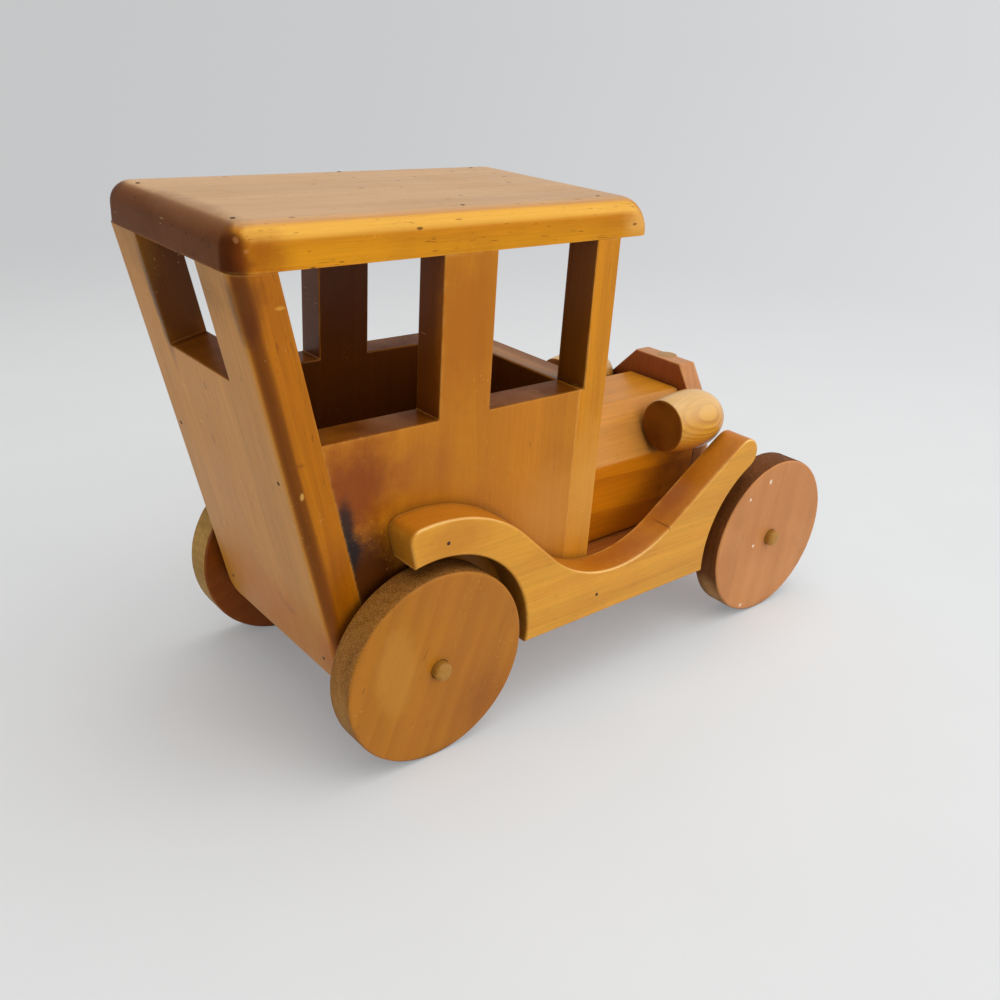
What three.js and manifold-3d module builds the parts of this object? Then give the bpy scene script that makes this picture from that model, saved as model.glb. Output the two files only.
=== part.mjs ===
// Wooden toy car in the shape of an early closed saloon, in millimetres.
// +X is the way it drives, +Y is its left side, +Z is up, and the floor it stands on is Z = 0.
// Its own origin is under the middle of its overall length and width.

import * as THREE from 'three';
import { mergeVertices } from 'three/addons/utils/BufferGeometryUtils.js';
import Module from 'manifold-3d';

// Boards and fits
const boardThickness = 19;
const bodyWidth = 127;
const glueGap = 0.3;

// Wheels and axles
const wheelDiameter = 105;
const wheelThickness = 18;
const wheelEdgeRound = 1.6;
const wheelSideGap = 4.2;
const wheelbase = 266;
const axleDiameter = 10;
const axleStickOut = 5;
const axleEndRound = 2.5;
const axleRunningGap = 0.4;
const frontAxleLead = 146;
const floorNose = 17;

// Cab
const cabHeight = 188;
const cabPastRearAxle = 70;
const backLean = THREE.MathUtils.degToRad(13.3);
const sillHeight = 112;
const middlePostWidth = 30.4;
const frontWindowLength = 63;
const windshieldPostWidth = 20.7;
const windowPostPare = 3;
const backWindowWidth = 60;
const backWindowHeight = 47.5;
const backEdgeRound = 7;
const backCornerRadius = 13;

// Roof
const roofOverhang = 22.7;
const roofRound = 10;
const roofFrontRound = 18.5;
const roofRearProud = 0.5;

// Hood
const hoodLength = 113;
const hoodSetIn = 23.5;
const hoodHeight = 78.5;
const hoodSideHeight = 49;
const hoodCheekRun = 20;

// Radiator board, whose two top corners were sawn off by eye
const radiatorHeight = 93.5;
const radiatorTopInset = 2.5;
const radiatorLeftCut = 21.5;
const radiatorRightCut = 33;
const radiatorRound = 8;
const capPegDiameter = 13;
const capPegDepth = 24;

// Headlights, turned barrels with a flat on the side that is glued to the hood's cheek
const lampLength = 43;
const lampDiameter = 36.8;
const lampRearDiameter = 31.4;
const lampWidestAt = 24.7;
const lampNoseReach = 24.3;
const lampFlatDepth = 0.8;
const lampSeatUp = 12.6;
const lampPegDiameter = 6.4;
const lampPegDepth = 10;

// Fenders, each sawn in one piece with its running board
const fenderBand = 20;
const rearArchRadius = 59.5;
const frontArchRadius = 63;
const fenderRearReach = THREE.MathUtils.degToRad(13.5);
const fenderFrontReach = THREE.MathUtils.degToRad(29);
const runningBoardHeight = 26;
const dipShare = 0.47;
const dipEase = 2.8;
const fenderLift = 2;
const fenderEdgeRound = 2;

// Facets
const wheelFacets = 52;
const axleFacets = 24;
const lampFacets = 40;
const pegFacets = 20;
const arcFacets = 12;
const roundFacets = 5;
const weldDistance = 1e-4;

// Heights and stations worked out from the sizes above; X is measured from the front board's front face
const axleHeight = wheelDiameter / 2;
const floorBottom = axleHeight - boardThickness / 2;
const floorTop = axleHeight + boardThickness / 2;
const roofBottom = floorTop + cabHeight;
const sillLevel = floorTop + sillHeight;
const halfBody = bodyWidth / 2;
const frontAxleX = frontAxleLead;
const rearAxleX = frontAxleLead - wheelbase;
const cabRoofLength = cabPastRearAxle - rearAxleX;
const hoodWidth = bodyWidth - 2 * hoodSetIn;
const hoodTopWidth = hoodWidth - 2 * hoodCheekRun;
const radiatorTopWidth = hoodTopWidth - radiatorTopInset;
const floorFront = frontAxleX + floorNose;
const frontBoardRear = -boardThickness;
const radiatorRear = hoodLength;
const backSlope = Math.tan(backLean);
const backDepth = boardThickness / Math.cos(backLean);
const roofRear = -cabRoofLength - backDepth - roofRearProud;
const wheelInner = halfBody + wheelSideGap;
const wheelOuter = wheelInner + wheelThickness;
const fenderBottom = floorBottom + fenderLift;
const dipFromRearAxle = wheelbase * dipShare;
const dipRise = fenderBottom + runningBoardHeight - axleHeight;
const dipKeepOff = rearArchRadius + fenderBand + dipEase;
const dipSpare = dipFromRearAxle ** 2 + dipRise ** 2 - dipKeepOff ** 2;
const fenderDipRadius = dipSpare / (2 * (dipKeepOff - dipRise));
const overallFront = Math.max(frontAxleX + wheelDiameter / 2, floorFront);
const overallRear = Math.min(roofRear, rearAxleX - wheelDiameter / 2);

const wasm = await Module();
wasm.setup();

// Front face of the leaning back board at a height
function backFaceX(z) {
  return -cabRoofLength + (roofBottom - z) * backSlope;
}

function solidOf(geometry) {
  const bare = geometry.clone();
  bare.deleteAttribute('normal');
  bare.deleteAttribute('uv');
  const welded = mergeVertices(bare, weldDistance);
  return new wasm.Manifold(new wasm.Mesh({
    numProp: 3,
    vertProperties: new Float32Array(welded.attributes.position.array),
    triVerts: new Uint32Array(welded.index.array),
  }));
}

function geometryOf(solid) {
  const mesh = solid.getMesh();
  const geometry = new THREE.BufferGeometry();
  geometry.setAttribute('position', new THREE.BufferAttribute(mesh.vertProperties, 3));
  geometry.setIndex(new THREE.BufferAttribute(mesh.triVerts, 1));
  geometry.computeVertexNormals();
  return geometry;
}

function boxBetween(low, high) {
  const size = high.map((value, axis) => value - low[axis]);
  const box = new THREE.BoxGeometry(...size);
  return box.translate(...low.map((value, axis) => value + size[axis] / 2));
}

function outline(points) {
  return new THREE.Shape(points.map(([u, v]) => new THREE.Vector2(u, v)));
}

function roundedRectangle(left, bottom, right, top, radius) {
  const shape = new THREE.Shape();
  shape.absarc(right - radius, bottom + radius, radius, -Math.PI / 2, 0, false);
  shape.absarc(right - radius, top - radius, radius, 0, Math.PI / 2, false);
  shape.absarc(left + radius, top - radius, radius, Math.PI / 2, Math.PI, false);
  shape.absarc(left + radius, bottom + radius, radius, Math.PI, Math.PI * 1.5, false);
  shape.closePath();
  return shape;
}

// A slab of a flat outline, its far face rounded over; the outline is the slab's full size
function roundedSlab(insetOutline, thickness, round) {
  const slab = new THREE.ExtrudeGeometry(insetOutline, {
    depth: thickness,
    bevelEnabled: true,
    bevelThickness: round,
    bevelSize: round,
    bevelSegments: roundFacets,
    curveSegments: arcFacets,
  });
  slab.translate(0, 0, -round);
  return slab;
}

// Turns a slab that rises along Z into one that runs along Y, its outline then lying in X and Z
function alongY(slab) {
  return slab.rotateX(Math.PI / 2);
}

// Turns a slab that rises along Z into one that runs along X, its outline then lying in Y and Z
function alongX(slab) {
  return slab.rotateX(Math.PI / 2).rotateZ(Math.PI / 2);
}

function plainSlab(shape, thickness) {
  return new THREE.ExtrudeGeometry(shape, {
    depth: thickness,
    bevelEnabled: false,
    curveSegments: arcFacets,
  });
}

function rod(diameter, length, facets) {
  return new THREE.CylinderGeometry(diameter / 2, diameter / 2, length, facets);
}

function wood(name, geometry, colour, roughness) {
  const material = new THREE.MeshStandardMaterial({ color: colour, roughness, metalness: 0 });
  const piece = new THREE.Mesh(geometry, material);
  piece.name = name;
  return piece;
}

const far = 1000;
const honey = '#c98b3c';
const amber = '#b9742f';
const tan = '#b98b5c';
const redBrown = '#8c4a24';
const wheelBrown = '#b5773f';
const paleYellow = '#dcb45f';

// Roof board, overhanging the front, where it is rounded over nearly its whole thickness
function roof() {
  const rear = roofRear + roofRound;
  const front = roofOverhang - roofRound;
  const top = boardThickness - roofRound;
  const fuller = roofFrontRound - roofRound;
  const shape = new THREE.Shape();
  shape.moveTo(rear, -boardThickness);
  shape.lineTo(front, -boardThickness);
  shape.absarc(front - fuller, top - fuller, fuller, 0, Math.PI / 2, false);
  shape.lineTo(rear, top);
  shape.closePath();
  const slab = alongY(roundedSlab(shape, bodyWidth - 2 * roofRound, roofRound));
  const board = solidOf(slab.translate(0, halfBody - 2 * roofRound, 0));
  const underside = solidOf(boxBetween([-far, -far, -far], [far, far, 0]));
  const piece = wood('roof', geometryOf(board.subtract(underside)), honey, 0.35);
  piece.position.z = roofBottom + glueGap;
  return piece;
}

// Leaning back board, its outer edges rounded, with a window notch that the roof closes
function backPanel() {
  const rise = (roofBottom - floorBottom) / Math.cos(backLean);
  const inset = roundedRectangle(
    -halfBody + backEdgeRound,
    backEdgeRound,
    halfBody - backEdgeRound,
    rise + boardThickness,
    backCornerRadius - backEdgeRound,
  );
  const slab = roundedSlab(inset, boardThickness, backEdgeRound);
  // Stands the slab up with its outer face to the rear, leans it, and sets its inner face in place
  slab.rotateX(Math.PI / 2).rotateZ(-Math.PI / 2);
  const innerFace = boxBetween([0, -far, -far], [far, far, far]);
  const notch = boxBetween(
    [-boardThickness * 2, -backWindowWidth / 2, rise - backWindowHeight / Math.cos(backLean)],
    [boardThickness, backWindowWidth / 2, rise + boardThickness * 2],
  );
  const lean = (geometry) => geometry.rotateY(-backLean).translate(backFaceX(floorBottom), 0, floorBottom);
  const top = boxBetween([-far, -far, roofBottom], [far, far, far]);
  const bottom = boxBetween([-far, -far, -far], [far, far, floorBottom]);
  const solid = solidOf(lean(slab))
    .subtract(solidOf(lean(innerFace)))
    .subtract(solidOf(lean(notch)))
    .subtract(solidOf(top))
    .subtract(solidOf(bottom));
  return wood('back_panel', geometryOf(solid), tan, 0.4);
}

// Side board with two window notches that the roof closes, and one post between them
function sidePanel(name, side) {
  const bottom = floorTop + glueGap;
  const front = frontBoardRear - glueGap;
  const postFront = frontBoardRear + windowPostPare - frontWindowLength;
  const postRear = postFront - middlePostWidth;
  const rearEdge = (z) => backFaceX(z) + glueGap / Math.cos(backLean);
  const shape = outline([
    [rearEdge(bottom), bottom],
    [front, bottom],
    [front, sillLevel],
    [postFront, sillLevel],
    [postFront, roofBottom],
    [postRear, roofBottom],
    [postRear, sillLevel],
    [rearEdge(sillLevel), sillLevel],
  ]);
  const panel = alongY(plainSlab(shape, boardThickness)).translate(0, boardThickness / 2, 0);
  const piece = wood(name, panel, amber, 0.35);
  piece.position.y = side * (halfBody - boardThickness / 2);
  return piece;
}

// Front board with the windshield notch; its posts are pared back where the side windows were sawn
function frontPanel() {
  const bottom = floorTop + glueGap;
  const opening = halfBody - windshieldPostWidth;
  const shape = outline([
    [-halfBody, bottom],
    [halfBody, bottom],
    [halfBody, roofBottom],
    [opening, roofBottom],
    [opening, sillLevel],
    [-opening, sillLevel],
    [-opening, roofBottom],
    [-halfBody, roofBottom],
  ]);
  const board = solidOf(alongX(plainSlab(shape, boardThickness)).translate(frontBoardRear, 0, 0));
  const pared = boxBetween([-far, -far, sillLevel], [frontBoardRear + windowPostPare, far, far]);
  return wood('front_panel', geometryOf(board.subtract(solidOf(pared))), honey, 0.35);
}

// Floor board that everything stands on, bored across for the two axles
function floorBoard() {
  const rearEdge = (z) => backFaceX(z) + glueGap / Math.cos(backLean);
  const shape = outline([
    [rearEdge(floorBottom), floorBottom],
    [floorFront, floorBottom],
    [floorFront, floorTop],
    [rearEdge(floorTop), floorTop],
  ]);
  let board = solidOf(alongY(plainSlab(shape, bodyWidth)).translate(0, halfBody, 0));
  for (const axleX of [rearAxleX, frontAxleX]) {
    const bore = rod(axleDiameter + 2 * axleRunningGap, bodyWidth * 2, axleFacets);
    board = board.subtract(solidOf(bore.translate(axleX, 0, axleHeight)));
  }
  return wood('floor_board', geometryOf(board), amber, 0.5);
}

// Cheek of the hood on one side: its lower edge, and the directions up it and out of it
function hoodCheek(side) {
  const lower = new THREE.Vector3(0, side * hoodWidth / 2, floorTop + hoodSideHeight);
  const upper = new THREE.Vector3(0, side * hoodTopWidth / 2, floorTop + hoodHeight);
  const up = upper.clone().sub(lower).normalize();
  const out = new THREE.Vector3(0, side * up.z, side * -up.y);
  return { lower, up, out };
}

// Where a headlight's glued flat is centred on the hood's cheek
function lampSeat(side) {
  const cheek = hoodCheek(side);
  const seat = cheek.lower.clone().addScaledVector(cheek.up, lampSeatUp);
  seat.x = radiatorRear - glueGap - lampLength + lampWidestAt;
  return { seat, out: cheek.out };
}

// A round peg or its hole, centred on a headlight's seat and square to the hood's cheek
function lampPegAt(side, clearance) {
  const { seat, out } = lampSeat(side);
  const length = 2 * lampPegDepth + 2 * clearance;
  const peg = rod(lampPegDiameter + 2 * clearance, length, pegFacets);
  const turn = new THREE.Quaternion().setFromUnitVectors(new THREE.Vector3(0, 1, 0), out);
  return peg.applyQuaternion(turn).translate(seat.x, seat.y, seat.z);
}

// Hood block with a flat top, slanted cheeks and upright sides
function hood() {
  const bottom = floorTop + glueGap;
  const shoulder = floorTop + hoodSideHeight;
  const top = floorTop + hoodHeight;
  const shape = outline([
    [-hoodWidth / 2, bottom],
    [hoodWidth / 2, bottom],
    [hoodWidth / 2, shoulder],
    [hoodTopWidth / 2, top],
    [-hoodTopWidth / 2, top],
    [-hoodWidth / 2, shoulder],
  ]);
  let block = solidOf(alongX(plainSlab(shape, hoodLength - 2 * glueGap)).translate(glueGap, 0, 0));
  for (const side of [-1, 1]) {
    block = block.subtract(solidOf(lampPegAt(side, glueGap)));
  }
  return wood('hood', geometryOf(block), honey, 0.35);
}

// Radiator board, rounded over round its front, with a hole in its top for the cap peg
function radiator() {
  const half = hoodWidth / 2;
  const halfTop = radiatorTopWidth / 2;
  const top = floorTop + radiatorHeight;
  const corners = [
    [-half, floorTop - boardThickness],
    [half, floorTop - boardThickness],
    [half, top - radiatorLeftCut],
    [halfTop, top],
    [-halfTop, top],
    [-half, top - radiatorRightCut],
  ];
  const slab = roundedSlab(outline(insetCorners(corners, radiatorRound)), boardThickness, radiatorRound);
  const board = solidOf(alongX(slab).translate(radiatorRear, 0, 0));
  const rear = boxBetween([-far, -far, -far], [radiatorRear, far, far]);
  const foot = boxBetween([-far, -far, -far], [far, far, floorTop + glueGap]);
  const hole = rod(capPegDiameter + 2 * glueGap, 2 * (capPegDepth + glueGap), pegFacets);
  hole.rotateX(Math.PI / 2).translate(radiatorRear + boardThickness / 2, 0, top);
  const solid = board.subtract(solidOf(rear)).subtract(solidOf(foot)).subtract(solidOf(hole));
  return wood('radiator', geometryOf(solid), redBrown, 0.4);
}

// The corners of a convex outline, listed anticlockwise, moved in by a distance from every edge
function insetCorners(corners, distance) {
  const count = corners.length;
  return corners.map((corner, index) => {
    const point = new THREE.Vector2(...corner);
    const before = new THREE.Vector2(...corners[(index + count - 1) % count]);
    const after = new THREE.Vector2(...corners[(index + 1) % count]);
    const into = point.clone().sub(before).normalize();
    const onward = after.clone().sub(point).normalize();
    const inward = new THREE.Vector2(-into.y - onward.y, into.x + onward.x);
    return point.addScaledVector(inward, distance / (1 + into.dot(onward))).toArray();
  });
}

function capPeg() {
  const peg = rod(capPegDiameter, capPegDepth, pegFacets).rotateX(Math.PI / 2);
  const piece = wood('radiator_cap_peg', peg, paleYellow, 0.45);
  piece.position.set(radiatorRear + boardThickness / 2, 0, floorTop + radiatorHeight - capPegDepth / 2);
  return piece;
}

// Half outline of a headlight from its flat rear end to its flat front, as radius against length
function lampProfile() {
  const widest = lampDiameter / 2;
  const rear = lampRearDiameter / 2;
  const points = [new THREE.Vector2(0, 0)];
  for (let step = 0; step <= arcFacets; step += 1) {
    const along = lampLength * step / arcFacets;
    const behind = Math.max(1 - along / lampWidestAt, 0);
    const ahead = Math.max(along - lampWidestAt, 0) / lampNoseReach;
    const radius = widest * Math.sqrt(Math.max(1 - ahead * ahead, 0)) - (widest - rear) * behind * behind;
    points.push(new THREE.Vector2(radius, along));
  }
  points.push(new THREE.Vector2(0, lampLength));
  return points;
}

function headlight(name, side) {
  const { seat, out } = lampSeat(side);
  const axis = seat.clone().addScaledVector(out, lampDiameter / 2 - lampFlatDepth + glueGap);
  const barrel = new THREE.LatheGeometry(lampProfile(), lampFacets);
  barrel.rotateZ(-Math.PI / 2).translate(axis.x - lampWidestAt, axis.y, axis.z);
  const flat = boxBetween([-far, -far, -far], [far, far, 0]);
  const turn = new THREE.Quaternion().setFromUnitVectors(new THREE.Vector3(0, 0, 1), out);
  const face = seat.clone().addScaledVector(out, glueGap);
  flat.applyQuaternion(turn).translate(face.x, face.y, face.z);
  const solid = solidOf(barrel).subtract(solidOf(flat)).subtract(solidOf(lampPegAt(side, glueGap)));
  return wood(name, geometryOf(solid), paleYellow, 0.35);
}

function headlightPeg(name, side) {
  return wood(name, lampPegAt(side, 0), paleYellow, 0.6);
}

// Where the straight stretch between a wheel's fender arc and the dip leaves each of them
function fenderTangent(wheel, outer, dip) {
  const apart = new THREE.Vector2().subVectors(dip, wheel);
  const tilt = Math.acos(Math.min((outer + fenderDipRadius) / apart.length(), 1));
  return { bearing: Math.atan2(apart.y, apart.x), tilt };
}

// Side outline of a fender: over the rear wheel, down to the running board, up behind the front wheel
function fenderOutline() {
  const rear = new THREE.Vector2(rearAxleX, axleHeight);
  const front = new THREE.Vector2(frontAxleX, axleHeight);
  const dipHeight = fenderBottom + runningBoardHeight + fenderDipRadius;
  const dip = new THREE.Vector2(rearAxleX + dipFromRearAxle, dipHeight);
  const rearOuter = rearArchRadius + fenderBand;
  const frontOuter = frontArchRadius + fenderBand;
  const behind = fenderTangent(rear, rearOuter, dip);
  const ahead = fenderTangent(front, frontOuter, dip);
  const leave = behind.bearing + behind.tilt;
  const arrive = ahead.bearing - ahead.tilt;
  const rearEnd = Math.PI / 2 + fenderRearReach;
  const frontEnd = Math.PI / 2 + fenderFrontReach;
  const tip = front.clone().add(new THREE.Vector2(Math.cos(frontEnd), Math.sin(frontEnd))
    .multiplyScalar(frontArchRadius + fenderBand / 2));
  const shape = new THREE.Shape();
  shape.absarc(rear.x, rear.y, rearOuter, rearEnd, leave, true);
  shape.absarc(dip.x, dip.y, fenderDipRadius, leave + Math.PI, arrive + Math.PI, false);
  shape.absarc(front.x, front.y, frontOuter, arrive, frontEnd, true);
  shape.absarc(tip.x, tip.y, fenderBand / 2, frontEnd, frontEnd - Math.PI, true);
  shape.absarc(front.x, front.y, frontArchRadius, frontEnd, archFoot(frontArchRadius, -1), false);
  shape.absarc(rear.x, rear.y, rearArchRadius, archFoot(rearArchRadius, 1), rearEnd, false);
  shape.closePath();
  return shape;
}

// Angle at which a wheel arch meets the underside of the running board
function archFoot(radius, side) {
  const below = Math.asin((axleHeight - fenderBottom) / radius);
  return side > 0 ? -below : Math.PI + below;
}

// One fender: a board against the body's side, its outer edge eased
function fender(name, side) {
  const slab = new THREE.ExtrudeGeometry(fenderOutline(), {
    depth: boardThickness,
    bevelEnabled: true,
    bevelThickness: fenderEdgeRound,
    bevelSize: fenderEdgeRound,
    bevelOffset: -fenderEdgeRound,
    bevelSegments: 2,
    curveSegments: arcFacets,
  });
  const outer = side * (halfBody + glueGap + boardThickness);
  const start = side > 0 ? outer - fenderEdgeRound : outer + fenderEdgeRound + boardThickness;
  const solid = solidOf(alongY(slab).translate(0, start, 0));
  const inner = halfBody + glueGap;
  const body = boxBetween([-far, -inner, -far], [far, inner, far]);
  return wood(name, geometryOf(solid.subtract(solidOf(body))), honey, 0.3);
}

// A quarter round of a lathe profile about a centre
function quarter(centre, radius, from) {
  const points = [];
  for (let step = 0; step <= roundFacets; step += 1) {
    const angle = from + step / roundFacets * Math.PI / 2;
    points.push(new THREE.Vector2(centre.x + radius * Math.cos(angle), centre.y + radius * Math.sin(angle)));
  }
  return points;
}

// Disc wheel with eased edges, glued on its axle
function wheel(name, side) {
  const bore = axleDiameter / 2 + glueGap;
  const radius = wheelDiameter / 2;
  const half = wheelThickness / 2;
  const rim = radius - wheelEdgeRound;
  const profile = [
    new THREE.Vector2(bore, -half),
    ...quarter(new THREE.Vector2(rim, -half + wheelEdgeRound), wheelEdgeRound, -Math.PI / 2),
    ...quarter(new THREE.Vector2(rim, half - wheelEdgeRound), wheelEdgeRound, 0),
    new THREE.Vector2(bore, half),
    new THREE.Vector2(bore, -half),
  ];
  const piece = wood(name, new THREE.LatheGeometry(profile, wheelFacets), wheelBrown, 0.45);
  piece.position.y = side * (wheelInner + half);
  return piece;
}

// Axle dowel with domed ends that stand out of the wheels
function axle(name) {
  const radius = axleDiameter / 2;
  const end = wheelOuter + axleStickOut;
  const core = radius - axleEndRound;
  const profile = [
    new THREE.Vector2(0, -end),
    ...quarter(new THREE.Vector2(core, -end + axleEndRound), axleEndRound, -Math.PI / 2),
    ...quarter(new THREE.Vector2(core, end - axleEndRound), axleEndRound, 0),
    new THREE.Vector2(0, end),
  ];
  return wood(name, new THREE.LatheGeometry(profile, axleFacets), paleYellow, 0.5);
}

// One axle with its two wheels, which turn together in the floor board's bore
function axleSet(end, x) {
  const set = new THREE.Group();
  set.add(axle(`axle_${end}`));
  set.add(wheel(`wheel_${end}_right`, -1));
  set.add(wheel(`wheel_${end}_left`, 1));
  set.position.set(x, 0, axleHeight);
  return set;
}

const car = new THREE.Group();
car.add(roof(), backPanel(), frontPanel(), floorBoard(), hood(), radiator(), capPeg());
for (const [sideName, side] of [['right', -1], ['left', 1]]) {
  car.add(sidePanel(`side_panel_${sideName}`, side));
  car.add(fender(`fender_${sideName}`, side));
  car.add(headlight(`headlight_${sideName}`, side));
  car.add(headlightPeg(`headlight_peg_${sideName}`, side));
}
car.add(axleSet('rear', rearAxleX), axleSet('front', frontAxleX));
car.position.x = -(overallFront + overallRear) / 2;

export default car;
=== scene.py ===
import math

import bmesh
import bpy
from mathutils import Euler, Matrix, Vector, noise


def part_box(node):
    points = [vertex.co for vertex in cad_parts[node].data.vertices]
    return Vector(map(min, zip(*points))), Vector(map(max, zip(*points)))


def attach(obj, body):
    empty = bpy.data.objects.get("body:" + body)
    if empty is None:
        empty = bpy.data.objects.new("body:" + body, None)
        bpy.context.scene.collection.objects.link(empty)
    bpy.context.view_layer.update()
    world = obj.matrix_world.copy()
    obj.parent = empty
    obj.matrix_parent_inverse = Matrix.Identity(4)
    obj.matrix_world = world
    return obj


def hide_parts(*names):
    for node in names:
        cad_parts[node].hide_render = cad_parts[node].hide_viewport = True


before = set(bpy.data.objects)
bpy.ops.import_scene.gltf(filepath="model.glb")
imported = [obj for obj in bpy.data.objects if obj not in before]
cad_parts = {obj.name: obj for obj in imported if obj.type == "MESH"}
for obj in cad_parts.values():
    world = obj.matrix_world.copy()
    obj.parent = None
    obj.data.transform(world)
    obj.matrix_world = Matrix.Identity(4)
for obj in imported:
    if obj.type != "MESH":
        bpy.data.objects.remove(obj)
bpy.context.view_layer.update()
print("frame loaded:", len(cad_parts), "pieces of wood")

# sizes are in millimetres, in the frame's own axes: +X drives forward, +Y is the car's left
shared = {"board": 19.0, "halfBody": 63.5, "floorTop": 62.0, "floorBottom": 43.0,
          "sill": 174.0, "roofBottom": 250.0, "seam": 0.02, "backLean": math.radians(13.3),
          "roofReach": 190.0, "sharp": math.radians(40)}
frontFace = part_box("front_panel")[1].x * 1000  # X of the front board's front face
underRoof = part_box("roof")[0].z * 1000 - shared["seam"]  # boards rise to the roof and touch it


def at(x, y, z):
    return Vector((x, y, z)) * 0.001


def backFace(z):
    return frontFace - shared["roofReach"] + (shared["roofBottom"] - z) * math.tan(shared["backLean"])


def tone(red, green, blue):
    def plain(value):
        value /= 255
        return value / 12.92 if value <= 0.04045 else ((value + 0.055) / 1.055) ** 2.4
    return plain(red), plain(green), plain(blue), 1.0


# ways of working a board

def sawn(points, push):
    # a flat outline, pushed out into a board
    bm = bmesh.new()
    face = bm.faces.new([bm.verts.new(at(*point)) for point in points])
    pushOut(bm, [face], push)
    bmesh.ops.recalc_face_normals(bm, faces=bm.faces)
    return bm


def pushOut(bm, faces, push):
    made = bmesh.ops.extrude_face_region(bm, geom=faces)
    verts = [item for item in made["geom"] if isinstance(item, bmesh.types.BMVert)]
    bmesh.ops.translate(bm, vec=at(*push), verts=verts)


def edgesWhere(bm, test, least=25):
    # sharp edges whose middle, in millimetres, passes the test
    found = []
    for edge in bm.edges:
        if len(edge.link_faces) == 2 and math.degrees(edge.calc_face_angle(0)) > least:
            if test((edge.verts[0].co + edge.verts[1].co) * 500):
                found.append(edge)
    return found


def roundOver(bm, edges, radius, segments):
    bmesh.ops.bevel(bm, geom=edges, offset=radius * 0.001, offset_type="OFFSET", affect="EDGES",
                    segments=segments, profile=0.5, material=-1, clamp_overlap=True)


def easeEdges(bm, radius, segments=2, test=lambda spot: True):
    roundOver(bm, edgesWhere(bm, test), radius, segments)


def cutOff(bm, spot, away):
    # saws off what lies past a plane and closes the cut
    geom = list(bm.verts) + list(bm.edges) + list(bm.faces)
    bmesh.ops.bisect_plane(bm, geom=geom, dist=1e-7, plane_co=at(*spot), plane_no=away, clear_outer=True)
    bmesh.ops.holes_fill(bm, edges=[edge for edge in bm.edges if edge.is_boundary], sides=0)
    bmesh.ops.recalc_face_normals(bm, faces=bm.faces)


def turned(profile, spot, axis, steps):
    # a profile of (radius, along) spun round an axis through a spot
    bm = bmesh.new()
    along = Vector(axis).normalized()
    out = along.orthogonal().normalized()
    verts = [bm.verts.new(at(*spot) + (out * radius + along * length) * 0.001) for radius, length in profile]
    edges = [bm.edges.new(pair) for pair in zip(verts, verts[1:])]
    bmesh.ops.spin(bm, geom=verts + edges, cent=at(*spot), axis=along, dvec=(0, 0, 0), angle=math.tau,
                   steps=steps, use_merge=True, use_duplicate=False)
    bmesh.ops.remove_doubles(bm, verts=bm.verts, dist=1e-6)
    bmesh.ops.recalc_face_normals(bm, faces=bm.faces)
    return bm


def finished(bm, name, body, material, node=None):
    mesh = bpy.data.meshes.new(name)
    bm.to_mesh(mesh)
    bm.free()
    mesh.shade_smooth()
    mesh.set_sharp_from_angle(angle=shared["sharp"])
    piece = bpy.data.objects.new(name, mesh)
    bpy.context.scene.collection.objects.link(piece)
    mesh.materials.append(material)
    crisp = piece.modifiers.new("crispFaces", "WEIGHTED_NORMAL")
    crisp.keep_sharp = True
    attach(piece, body)
    if node:
        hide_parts(node)
    return piece


# the varnished wood

def put(tree, kind, settings, wires):
    made = tree.nodes.new(kind)
    for key, value in settings.items():
        setattr(made, key, value)
    for key, value in wires.items():
        if isinstance(value, bpy.types.NodeSocket):
            tree.links.new(value, made.inputs[key])
        else:
            made.inputs[key].default_value = value
    return made


def maths(tree, way, one, two=0.0, clamp=False):
    return put(tree, "ShaderNodeMath", {"operation": way, "use_clamp": clamp}, {0: one, 1: two}).outputs[0]


def vectors(tree, way, one, two=(0, 0, 0)):
    made = put(tree, "ShaderNodeVectorMath", {"operation": way}, {0: one, 1: two})
    return made.outputs[1] if way in ("LENGTH", "DOT_PRODUCT") else made.outputs[0]


def ranged(tree, value, low, high, start=0.0, end=1.0):
    return put(tree, "ShaderNodeMapRange", {"interpolation_type": "SMOOTHSTEP"},
               {"Value": value, "From Min": low, "From Max": high, "To Min": start, "To Max": end}).outputs[0]


def mixed(tree, share, one, two, way="MIX"):
    return put(tree, "ShaderNodeMix", {"data_type": "RGBA", "blend_type": way},
               {0: share, 6: one, 7: two}).outputs[2]


def cloud(tree, spot, scale, detail=3.0, rough=0.55):
    return put(tree, "ShaderNodeTexNoise", {}, {"Vector": spot, "Scale": scale, "Detail": detail,
                                                "Roughness": rough}).outputs[0]


def tint(way, start, full, colour, share):
    # a colour for the sides that face a way; most of these are painted light and shade: lit tops, painted
    # highlights, shaded backs, insides and undersides
    return {"way": way, "from": start, "to": full, "colour": colour, "share": share}


def mark(spot, size, colour, share, core=0.4, rag=0.7):
    # a stain, knot, bleached place, painted shadow or painted shade in millimetres, with its plain core and
    # the raggedness of its rim
    return {"at": spot, "size": size, "colour": colour, "share": share, "core": core, "rag": rag}


pine = {"turn": (0, 0, 0), "heart": (0, 0.03, -0.07), "seed": (0, 0, 0), "faces": (), "spots": (),
        "ringGap": 6.0, "ringBend": 0.006, "ringTwist": 1.2, "ringShare": 0.3,
        "light": (198, 132, 40), "dark": (166, 96, 22), "patina": (158, 86, 26), "patinaShare": 0.25,
        "fibre": 0.14, "fleck": 0.2, "fleckColour": (84, 42, 14), "end": 0.6, "endColour": (96, 50, 18),
        "wear": 0.45, "wearColour": (222, 164, 84), "wearWidth": 0.002,
        "grimeAndShade": 0.7, "grimeAndShadeColour": (58, 22, 6), "grimeAndShadeReach": 0.01,
        "specks": 0.3, "speckShare": 0.06, "speckColour": (52, 26, 12),
        "sand": 0.0, "sandColour": (196, 146, 78), "scuff": 0.35, "scuffColour": (236, 196, 128),
        "rough": 0.34, "bump": 0.14, "gloss": 0.28}


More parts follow.
